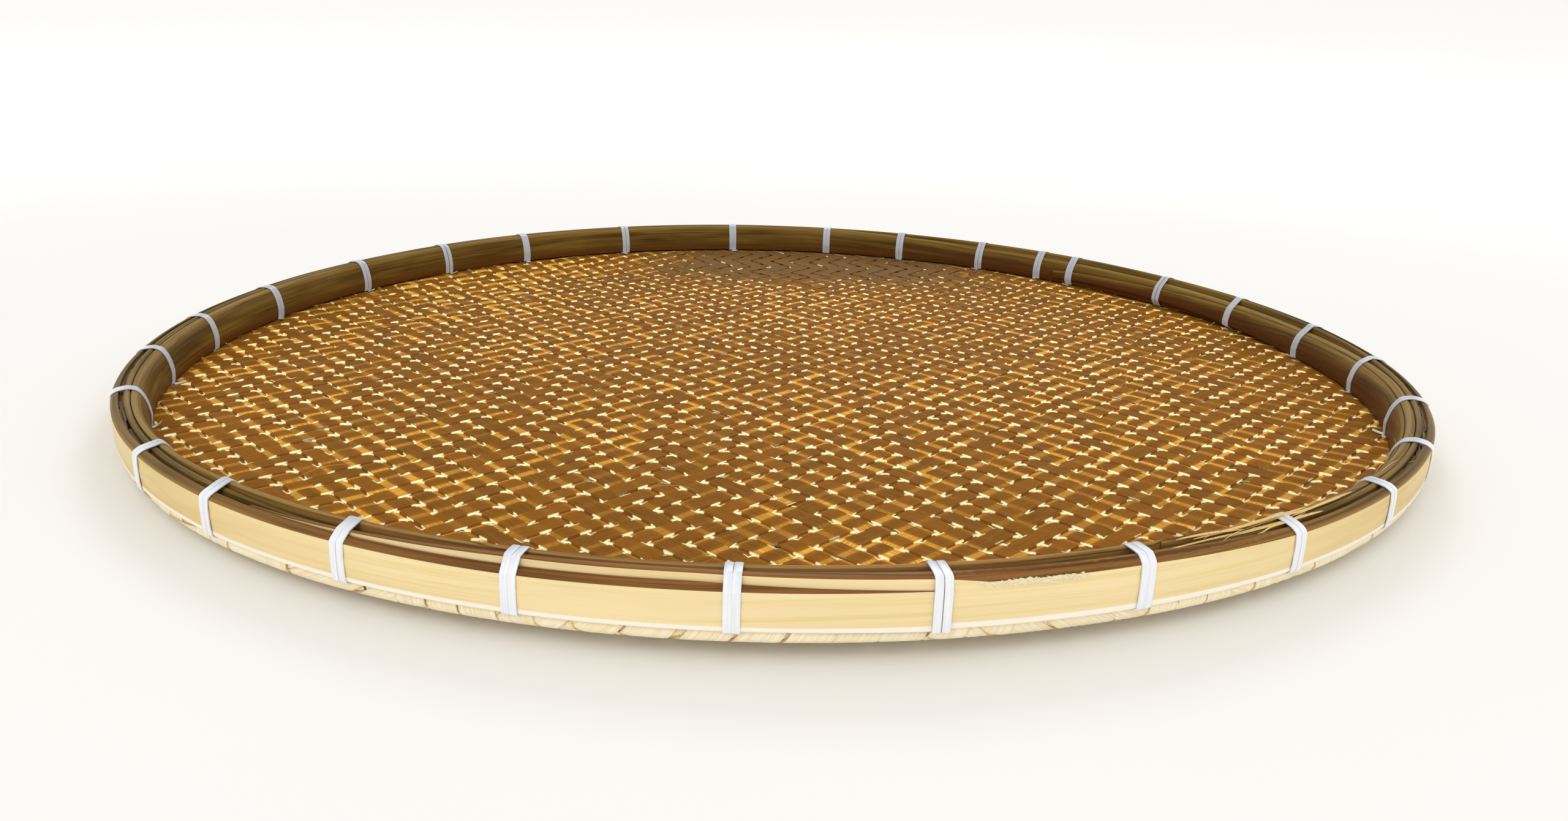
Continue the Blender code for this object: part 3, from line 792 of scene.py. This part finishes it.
def build_strip(key, number, offset):
    """The sweeps of one strip, each with its points, values and count of bottom corners."""
    other = CROSSED[key]
    numbers, places = OFFSETS[other]
    side = MIDDLE[other] + offset
    half = STRIP_HALF_WIDTH + RANDOM.uniform(-STRIP_JITTER, STRIP_JITTER)
    shade, phase = RANDOM.uniform(), RANDOM.uniform(0, 2 * math.pi)
    room = FLAT_EDGE - EDGE_ROOM
    low, high = max(side - half, -room), min(side + half, room)
    if high - low < STRIP_LEAST_WIDTH:
        return []
    side, half = (low + high) / 2, (high - low) / 2
    middle = -MIDDLE[key]
    widest = side + np.array((-1, 1)) * half
    common = float(np.sqrt(np.maximum(room**2 - widest**2, 0)).min())
    stations = strip_stations(key, number, side, common)
    bend = math.sqrt(max(BEND_START**2 - side**2, 0))
    parts = [(stations, LIP_COLUMNS, True, True)]
    inner = stations[np.abs(stations - middle) < bend]
    if len(inner) > 4:
        parts = [
            (stations[stations <= inner[0]], LIP_COLUMNS, True, False),
            (inner, FLOOR_COLUMNS, False, False),
            (stations[stations >= inner[-1]], LIP_COLUMNS, False, True),
        ]
    sweeps = []
    for places_along, columns, first_end, last_end in parts:
        across, heights, below = strip_section(columns)
        lines = side + across * half
        reach = np.sqrt(np.maximum(room**2 - lines**2, 0))
        rows = np.repeat(places_along[:, None], len(lines), axis=1)
        ends = np.linspace(0, 1, 4)[1:, None]
        pieces = [rows]
        if first_end:
            pieces.insert(0, (rows[0] + ends * (middle - reach - rows[0]))[::-1])
        if last_end:
            pieces.append(rows[-1] + ends * (middle + reach - rows[-1]))
        rows = np.vstack(pieces)
        wander = WANDER * np.sin(rows / WANDER_WAVE + phase)
        from_middle = np.hypot(rows - middle, side)
        lip = np.clip((from_middle - WIDENING_START) / WIDENING_LENGTH, 0, 1)
        sideways = side + (lines - side)[None, :] * (1 + WIDENING_SHARE * lip) + wander
        lattice = np.interp(rows, places, numbers)
        lift = strip_lift(key, number, lattice) + heights[None, :]
        along = (rows + MIDDLE[key])[..., None]
        flat = along * ALONG[key] + sideways[..., None] * ALONG[other]
        values = {
            "along": lattice,
            "across": np.broadcast_to(across, rows.shape),
            "strip": np.full(rows.shape, shade),
            "lip": lip,
        }
        sweeps.append((onto_mat(flat[..., 0], flat[..., 1], lift), values, below))
    return sweeps


def build_strips(name, key, wanted):
    """Some strips of one direction in one piece."""
    sweeps, values, kinds = [], [], []
    for number, offset in zip(*OFFSETS[key]):
        if number not in wanted:
            continue
        for rows, extra, below in build_strip(key, int(number), float(offset)):
            stations, corners = rows.shape[:2]
            round_section = np.zeros(corners, int)
            round_section[: below - 1] = 2
            round_section[[below - 1, -1]] = 1
            kinds += np.tile(round_section, stations - 1).tolist() + [1, 1]
            sweeps.append(rows)
            values.append(extra)
    points, faces = joined(sweeps)
    if key == "b":
        faces = [face[::-1] for face in faces]
    materials, values = [STRIP, STRIP_EDGE, STRIP_PITH], gathered(values)
    return mesh_object(name, points, faces, materials, "bamboo_strips", 50, values, kinds)


def build_mat():
    for key in ALONG:
        numbers = OFFSETS[key][0]
        for part, chosen in enumerate(np.array_split(numbers, 4), start=1):
            build_strips(f"strips_{key}_{part}", key, set(chosen.tolist()))
    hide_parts("woven_mat")


# Hoops

HOOP_STEP = 0.8
# The flaky bark edge past the lap: its angles, how rough it is at each, and its fine step
BARK_ANGLES, BARK_SHARES, BARK_STEP = (7.5, 10, 30, 38), (0, 1, 0.8, 0), 0.16
BARK_DEPTH, BARK_HEIGHT = 0.00013, 0.00011
HOOP_WAVE, HOOP_WAVE_HEIGHT = 0.00006, 0.00012
HOOP_WAVES = 6
FACE_SHARES = (0, 0.33, 0.67)
SLOPE_BULGE = 0.00012
END_SINK_SHARE = 0.9
COVERED_SLOPE_ANGLES = (HOOP_INSIDE_TIP, HOOP_OUTSIDE_TIP, HOOP_CLOSED)
COVERED_SLOPE_SHARES = (0.25, 0.45, 1)


def build_sweep(name, turns, section, materials, kinds, node, slot, wave=None):
    """A strip bent along the rim, from its section at every turn."""
    sections = np.array([section(turn) for turn in turns])
    if wave is not None:
        sections = wave(turns, sections)
    stations, corners = sections.shape[:2]
    rows = place(turns[:, None], sections[..., 0], sections[..., 1])
    edges = np.linalg.norm(np.diff(sections, axis=1), axis=2)
    girth = np.array([running(steps) for steps in edges])
    along = np.repeat(np.radians(turns)[:, None] * RIM_RADIUS, corners, axis=1)
    heights = sections[..., 1]
    lowest = heights.min(axis=1, keepdims=True)
    rise = (heights - lowest) / (heights.max(axis=1, keepdims=True) - lowest)
    values = {
        "along": along.reshape(-1),
        "across": girth.reshape(-1),
        "rise": rise.reshape(-1),
        "strip": np.full(stations * corners, RANDOM.uniform(0, 9)),
    }
    kinds = kinds * (stations - 1) + [len(materials) - 1] * 2
    solid = turned_out(*joined([rows]))
    made = mesh_object(name, *solid, materials, slot, 32, values, kinds)
    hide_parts(node)


def turns_of(first, last, step=HOOP_STEP):
    return np.linspace(first, last, int((last - first) / step) + 1)


def fine_hoop_section(turn):
    """The outer hoop's section with a rounded face, thinning to nothing over both shaved ends."""
    corners = np.array(hoop_section(turn))
    inner_bottom_point, bottom_edge, edge, middle, shoulder, top, inner_top = corners
    last_lap = turn - 360
    if last_lap > HOOP_OUTSIDE_SHAVED:
        left = (outside_end_thickness(last_lap) - HOOP_TIP_THICKNESS) / HOOP_THICKNESS
        lost = (1 - left) * (top[1] - shoulder[1]) * END_SINK_SHARE
        top[1] -= lost
        inner_top[1] -= lost
    if turn < HOOP_CLOSED:
        narrow = ramp(turn, COVERED_SLOPE_ANGLES, COVERED_SLOPE_SHARES)
        shoulder[1] = top[1] - narrow * (top[1] - shoulder[1])
        top[0] = shoulder[0] - narrow * (shoulder[0] - top[0])
    face = [edge + share * (middle - edge) for share in FACE_SHARES]
    face += [middle + share * (shoulder - middle) for share in FACE_SHARES]
    slope = [
        shoulder,
        0.8 * shoulder + 0.2 * top + SLOPE_BULGE,
        0.5 * (shoulder + top) + 1.3 * SLOPE_BULGE,
        top,
    ]
    fine = (inner_bottom_point, bottom_edge, *face, *slope, inner_top)
    return [tuple(point) for point in fine]


def rough_bark(turns, sections):
    """Small waves along the hoop, and a flaky bark edge on the slope beside the lap."""
    shaped = sections.copy()
    for number in range(HOOP_WAVES):
        phase = RANDOM.uniform(0, 2 * math.pi)
        wave = np.sin(np.radians(turns) * (5 + 4 * number) + phase) / (2 + number)
        shaped[:, 8:12, 1] += HOOP_WAVE_HEIGHT * wave[:, None]
        shaped[:, 2:9, 0] += HOOP_WAVE * wave[:, None]
    flaky = np.interp(turns, BARK_ANGLES, BARK_SHARES)
    noise = RANDOM.normal(0, 1, (len(turns), 3))
    noise = noise + np.roll(noise, 1, axis=0)
    shaped[:, 9:12, 0] += BARK_DEPTH * flaky[:, None] * noise
    shaped[:, 9:12, 1] += BARK_HEIGHT * flaky[:, None] * noise[:, ::-1]
    return shaped


LAYERS = {
    "outer": (*HOOP_TURNS, fine_hoop_section),
    "inner": (*INNER_TURNS, inner_section),
    "filler": (*FILLER_ANGLES, filler_section),
}


def build_hoops():
    first, last = BARK_ANGLES[0], BARK_ANGLES[-1]
    coarse, fine = turns_of(*HOOP_TURNS), turns_of(first, last, BARK_STEP)
    turns = np.sort(np.concatenate([coarse[(coarse < first) | (coarse > last)], fine]))
    materials = [HOOP_SKIN, HOOP_CUT, HOOP_FOOT]
    kinds = [2] * 2 + [0] * 6 + [1] * 5
    build_sweep(
        "outer_hoop_bamboo", turns, fine_hoop_section, materials, kinds, "outer_hoop",
        "bamboo_skin", rough_bark,
    )
    for node, (first, last, section), material in (
        ("filler_cane", LAYERS["filler"], FILLER),
        ("inner_hoop", LAYERS["inner"], INNER),
    ):
        turns, kinds = turns_of(first, last), [0] * len(section(first))
        build_sweep(f"{node}_bamboo", turns, section, [material], kinds, node, "bamboo_split")


def points_at(angle, *hoops):
    """Radius and height points of all the layers that some hoops have at an angle."""
    layers = [layer for hoop in hoops for layer in layers_at(angle, *LAYERS[hoop])]
    return [point for layer in layers for point in layer]


# Torn bark, loose fibres and strap tails

CRUMBS, HAIRS, SPLINTERS, FLOOR_HAIRS = 300, 16, 9, 12
# Each range has the least and then the most. Length, half width, thickness and lean:
CRUMB_RANGE = ((0.0006, 0.00012, 0.0001, -0.4), (0.003, 0.00042, 0.0003, 0.4))
CRUMB_ANGLES, CRUMB_SHARES = (10.5, 13.5, 17.5), (-1, -0.35, 0.12)
CRUMB_SINK, CRUMB_FACE_REACH = 0.0001, 0.0018
BARK_GRAIN = (("along", 1), ("across", 0.01))
# Angle, radius, length, bow, drift and thickness
HAIR_RANGE = (
    (24, 0.2875, 0.006, 0.0002, -0.004, 0.00006),
    (60, 0.2985, 0.026, 0.0011, 0.003, 0.00013),
)
HAIR_CREST_RADIUS, HAIR_FALL, HAIR_MOST_FALL, HAIR_SINK = 0.2925, 108, 0.003, 0.0004
# Angle off its even place, radius, length, drift, bow and thickness
SPLINTER_RANGE = (
    (-0.5, 0.2925, 0.018, -0.003, 0.0, 0.0003),
    (0.5, 0.2965, 0.042, 0.001, 0.0006, 0.0006),
)
SPLINTER_FIRST, SPLINTER_STEP = 22.5, 1.4
SPLINTER_REACH, SPLINTER_BRIDGE, SPLINTER_LIFT = 0.0016, 0.0008, 0.00015
# Place on the mat, direction, bend, length and bow
FLOOR_HAIR_RANGE = (
    (-0.22, -0.2, 0, -1.5, 0.008, 0.0003),
    (0.24, 0.12, 2 * math.pi, 1.5, 0.03, 0.0016),
)
FLOOR_HAIR_RADIUS = 0.00007
# Angle off its strap, direction, length, half width and curl
TAIL_RANGE = ((-0.25, -0.9, 0.0026, 0.0008, 0.0006), (0.25, 0.9, 0.006, 0.0013, 0.0024))
TAIL_FOOT, TAIL_TURN_RADIUS, TAIL_THICKNESS, TAIL_LEFT_OUT = 0.2868, 0.286, 0.0004, 0.25


def build_bark():
    """Crumbs of torn bark on the outer hoop's upper edge, past the lap."""
    points, faces = [], []
    for _ in range(CRUMBS):
        angle = RANDOM.triangular(*CRUMB_ANGLES)
        section = fine_hoop_section(angle)
        shoulder, top = np.array(section[8]), np.array(section[11])
        share = RANDOM.triangular(*CRUMB_SHARES)
        down = (CRUMB_SINK, share * CRUMB_FACE_REACH)
        radius, height = shoulder + (share * (top - shoulder) if share > 0 else down)
        long, wide, thick, lean = RANDOM.uniform(*CRUMB_RANGE)
        turn = math.degrees(long / RIM_RADIUS)
        count = len(points)
        for step, up, out in ((-1, 0, 0), (0, 1, 0.2), (1, lean, 0), (0.1, -1, 0.2), (0, 0, 1)):
            across = radius - CRUMB_SINK - up * wide * 0.7 + out * thick
            points.append(place(angle + step * turn / 2, across, height + up * wide + out * thick))
        ring = [count, count + 1, count + 2, count + 3]
        faces += [[ring[i], ring[i - 1], count + 4] for i in range(4)] + [ring]
    values = {key: RANDOM.uniform(0, most, len(points)) for key, most in BARK_GRAIN}
    mesh_object("torn_bark", points, faces, [BARK], "bamboo_skin", 30, values)


def fine_rod(route, radius):
    """A thin three-sided rod along a route that thins out at both ends."""
    share = np.linspace(0, 1, len(route))
    thin = radius * np.sqrt(np.clip(4 * share * (1 - share), 0.05, 1))
    ways = np.gradient(route, axis=0)
    ways /= np.linalg.norm(ways, axis=1, keepdims=True)
    side = np.cross(ways, (0.1, 0.2, 1.0))
    side /= np.linalg.norm(side, axis=1, keepdims=True)
    up = np.cross(side, ways)
    rows = []
    for turn in 2 * math.pi * np.arange(3) / 3:
        rows.append(route + thin[:, None] * (math.cos(turn) * side + math.sin(turn) * up))
    return np.stack(rows, axis=1)


def hoop_hairs():
    """Hairs that stand off the hoops at the right."""
    rods = []
    share = np.linspace(0, 1, 9)
    for _ in range(HAIRS):
        angle, radius, long, bow, drift, thick = RANDOM.uniform(*HAIR_RANGE)
        crest = max(height for _, height in points_at(angle, "inner"))
        turns = angle + np.degrees(share * long / RIM_RADIUS)
        radii = radius + drift * share
        fall = np.minimum(HAIR_FALL * (radii - HAIR_CREST_RADIUS) ** 2, HAIR_MOST_FALL)
        heights = crest - fall + bow * np.sin(math.pi * share) - HAIR_SINK
        rods.append(fine_rod(place(turns, radii, heights), thick))
    return rods


def hoop_splinters():
    """Splinters that lie along the hoops' tops at the right of the lap."""
    rods = []
    share = np.linspace(0, 1, 11)
    for number in range(SPLINTERS):
        off, radius, long, drift, bow, thick = RANDOM.uniform(*SPLINTER_RANGE)
        angle = SPLINTER_FIRST + SPLINTER_STEP * number + off
        turns = angle + np.degrees(share * long / RIM_RADIUS)
        radii = radius + drift * share
        crests = []
        for turn, across in zip(turns, radii):
            near = points_at(turn, "inner", "filler")
            near = [height for beside, height in near if abs(beside - across) < SPLINTER_REACH]
            crests.append(max(near, default=0))
        crests = np.maximum(crests, max(crests) - SPLINTER_BRIDGE)
        heights = crests + SPLINTER_LIFT + bow * np.sin(math.pi * share)
        rods.append(fine_rod(place(turns, radii, heights), thick))
    return rods


def floor_hairs():
    """A few hairs on the mat."""
    rods = []
    share = np.linspace(0, 1, 11)
    for _ in range(FLOOR_HAIRS):
        x, y, turn, bend, long, bow = RANDOM.uniform(*FLOOR_HAIR_RANGE)
        ways = (turn + bend * share)[1:]
        step = long / len(ways)
        lifts = MAT_TOP_LIFT + bow * np.sin(math.pi * share)
        xs, ys = x + running(np.cos(ways) * step), y + running(np.sin(ways) * step)
        rods.append(fine_rod(onto_mat(xs, ys, lifts), FLOOR_HAIR_RADIUS))
    return rods


def build_fibres():
    points, faces = turned_out(*joined(hoop_hairs() + hoop_splinters() + floor_hairs()))
    values = {"along": RANDOM.uniform(0, 1, len(points))}
    mesh_object("loose_fibres", points, faces, [FIBRE], "bamboo_strips", 60, values)


def build_tails():
    """The straps' cut tails, on the mat at the foot of the inner hoop."""
    tails = []
    share = np.linspace(0, 1, 6)
    for angle in BINDING_ANGLES:
        if RANDOM.uniform() < TAIL_LEFT_OUT:
            continue
        off, heading, long, half, curl = RANDOM.uniform(*TAIL_RANGE)
        start = np.radians(angle + off)
        rows = []
        for side, up in ((-1, 0), (1, 0), (1, 1), (-1, 1)):
            far, across = share * long, side * half
            inward = TAIL_FOOT - far * math.cos(heading) + across * math.sin(heading)
            sideways = far * math.sin(heading) + across * math.cos(heading)
            turn = start + sideways / TAIL_TURN_RADIUS
            lift = MAT_TOP_LIFT + TAIL_THICKNESS * up + curl * share**2
            rows.append(onto_mat(inward * np.sin(turn), -inward * np.cos(turn), lift))
        tails.append(np.stack(rows, axis=1))
    mesh_object("strap_tails", *turned_out(*joined(tails)), [STRAP], "white_strap", 60, {})


# Straps

STRAP_REACH_ANGLE = 0.55
STRAP_INSIDE_GAP, STRAP_OUTSIDE_GAP = 0.0001, 0.00058
STRAP_CORNERS = 64
STRAP_SECTION = ((-1, 0), (1, 0), (1, 0.7), (0.6, 1), (-0.6, 1), (-1, 0.7))
TURN_GAPS = (0.00002, 0.0003)
TURN_SKEW = 0.0007
# Radius at which a strap is in full light, and how far in it is all in shade
SHADE_START, SHADE_LENGTH = 0.2985, 0.006


def rim_points(angle):
    """Points of all the hoops under a strap, at its middle and both sides."""
    sides = (angle - STRAP_REACH_ANGLE, angle, angle + STRAP_REACH_ANGLE)
    return np.array([point for side in sides for point in points_at(side, *LAYERS)])


def strap_loop(points, offset):
    """Places along a tight strap round the points, counter-clockwise from straight outwards."""
    faces = 2 * math.pi * np.arange(STRAP_CORNERS) / STRAP_CORNERS
    normals = np.stack([np.cos(faces), np.sin(faces)], axis=-1)
    reach = (points @ normals.T).max(axis=0) + offset
    pairs = np.stack([normals, np.roll(normals, -1, axis=0)], axis=1)
    reaches = np.stack([reach, np.roll(reach, -1)], axis=1)
    return np.linalg.solve(pairs, reaches[..., None])[..., 0]


def build_binding(number, angle):
    """One strap, twice round the rim, with its turns side by side."""
    points = rim_points(angle)
    inside = strap_loop(points, STRAP_INSIDE_GAP)
    outside = strap_loop(points, STRAP_OUTSIDE_GAP)
    under = int(np.argmin(inside[:, 1] + 0.3 * (RIM_RADIUS - inside[:, 0])))
    order = (np.arange(STRAP_CORNERS + 1) + under) % STRAP_CORNERS
    inside, outside = inside[order], outside[order]
    gap = STRAP_WIDTH + RANDOM.uniform(*TURN_GAPS)
    skew = RANDOM.uniform(-TURN_SKEW, TURN_SKEW, 2)
    share = np.linspace(0, 1, len(order))
    length = running(np.linalg.norm(np.diff(outside, axis=0), axis=1))
    # Share of painted shade along the strap, kept as its inside value
    shade = np.clip((SHADE_START - outside[:, 0]) / SHADE_LENGTH, 0, 1)
    across, up = np.array(STRAP_SECTION).T
    line = inside[:, None] + up[:, None] * (outside - inside)[:, None]
    turned = np.array(Matrix.Rotation(math.radians(angle), 3, "Z"))
    sweeps, values = [], []
    for turn, base in enumerate((-gap / 2, gap / 2)):
        side = base + skew[turn] * 0.25 * np.sin(2 * math.pi * share + turn)
        places = side[:, None] + across * STRAP_WIDTH / 2
        sweeps.append(np.stack([places, -line[..., 0], line[..., 1]], axis=-1) @ turned.T)
        values.append({
            "along": np.broadcast_to(length[:, None], places.shape),
            "across": np.broadcast_to(across, places.shape),
            "strip": np.full(places.shape, number + 0.5 * turn),
            "inside": np.broadcast_to(shade[:, None], places.shape),
        })
    name, solid = f"strap_{number:02d}", turned_out(*joined(sweeps))
    made = mesh_object(name, *solid, [STRAP], "white_strap", 60, gathered(values))
    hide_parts(f"binding_{number:02d}")


# Floor, light and camera

FLOOR_SIDES = 72
FLOOR_FLAT, FLOOR_BEND_START, FLOOR_BEND_RADIUS, FLOOR_BEND_STEPS = 1, 5, 40, 6
FLOOR_END, FLOOR_END_HEIGHT = 60, 4.7
WORLD_TINT, WORLD_STRENGTH = (1.0, 0.99, 0.97, 1), 0.82
LAMPS = (
    ("key", "AREA", (-0.9, -1.9, 1.7), 1.4, 11),
    ("fill", "AREA", (1.9, -0.9, 1.4), 1.6, 5),
    ("back", "POINT", (0.3, 3.1, 2.8), 0.9, 130),
)
CAMERA_PITCH, CAMERA_ROLL, CAMERA_YAW = 0.318355, 0.0278496, -0.007917
CAMERA_BACK_SHARE, CAMERA_UP_SHARE = 1.93274, 0.486809
CAMERA_LENS_MM, CAMERA_SENSOR_MM = 26.63, 36


def floor_material():
    """White paper that goes lighter away from the tray."""
    n = Nodes("floor_paper", 0.9, 0.1)
    far = n.span(n.distance((0, 0, 0)), 0.35, 1.9)
    paper = n.mix(n.noise(n.position(), 3.0), (243, 242, 240), (246, 245, 243))
    n.paint(n.mix(far, paper, (254, 254, 253)))
    n.glow(far, (255, 255, 255), 0.14)
    return n.material


def build_floor():
    """A round floor, level for some metres and then rising gently all round."""
    bends = np.radians(np.arange(FLOOR_BEND_STEPS))
    reach = FLOOR_BEND_START + FLOOR_BEND_RADIUS * np.sin(bends)
    rise = FLOOR_BEND_RADIUS - FLOOR_BEND_RADIUS * np.cos(bends)
    angles = np.arange(FLOOR_SIDES) * 360 / FLOOR_SIDES
    edges = [(FLOOR_FLAT, 0), *zip(reach, rise), (FLOOR_END, FLOOR_END_HEIGHT)]
    rings = [place(angles, far, np.full(FLOOR_SIDES, height)) for far, height in edges]
    points, faces = joined([np.stack(rings)])
    mesh = bpy.data.meshes.new("floor")
    mesh.from_pydata(points.tolist(), [], [face[::-1] for face in faces[:-1]])
    mesh.shade_smooth()
    mesh.materials.append(floor_material())
    linked("floor", mesh)


def build_light():
    scene = bpy.context.scene
    scene.view_settings.view_transform = "Standard"
    scene.view_settings.look = "None"
    world = bpy.data.worlds.new("studio")
    world.use_nodes = True
    background = world.node_tree.nodes["Background"]
    background.inputs["Color"].default_value = WORLD_TINT
    background.inputs["Strength"].default_value = WORLD_STRENGTH
    scene.world = world
    for name, kind, spot, width, power in LAMPS:
        lamp = bpy.data.lights.new(name, kind)
        lamp.energy = power
        if kind == "AREA":
            lamp.size = width
        else:
            lamp.shadow_soft_size = width
        holder = linked(name, lamp)
        holder.location = spot
        holder.rotation_mode = "QUATERNION"
        holder.rotation_quaternion = (-Vector(spot)).to_track_quat("-Z", "Y")


def build_camera():
    """The photo's camera, fitted to the rim and the straps, with its place in rim radii."""
    pitch, roll, yaw = CAMERA_PITCH, CAMERA_ROLL, CAMERA_YAW
    top = MAT_RIM_RISE + MAT_LIP_HEIGHT + HOOP_HEIGHT - HOOP_SHOULDER_DEPTH
    spot = (0, -CAMERA_BACK_SHARE * RIM_RADIUS, top + CAMERA_UP_SHARE * RIM_RADIUS)
    forward = Vector(
        (-math.sin(yaw) * math.cos(pitch), math.cos(yaw) * math.cos(pitch), -math.sin(pitch))
    )
    right = Vector((math.cos(yaw), math.sin(yaw), 0))
    up = right.cross(forward)
    across = math.cos(roll) * right + math.sin(roll) * up
    upward = -math.sin(roll) * right + math.cos(roll) * up
    turned = Matrix((across, upward, -forward)).transposed().to_4x4()
    lens = bpy.data.cameras.new("camera")
    lens.sensor_width = CAMERA_SENSOR_MM
    lens.lens = CAMERA_LENS_MM
    camera = linked("camera", lens)
    camera.matrix_world = Matrix.Translation(spot) @ turned
    bpy.context.scene.camera = camera


build_camera()
build_floor()
build_light()
build_mat()
build_hoops()
build_bark()
build_fibres()
build_tails()
for number, angle in enumerate(BINDING_ANGLES, start=1):
    build_binding(number, angle)
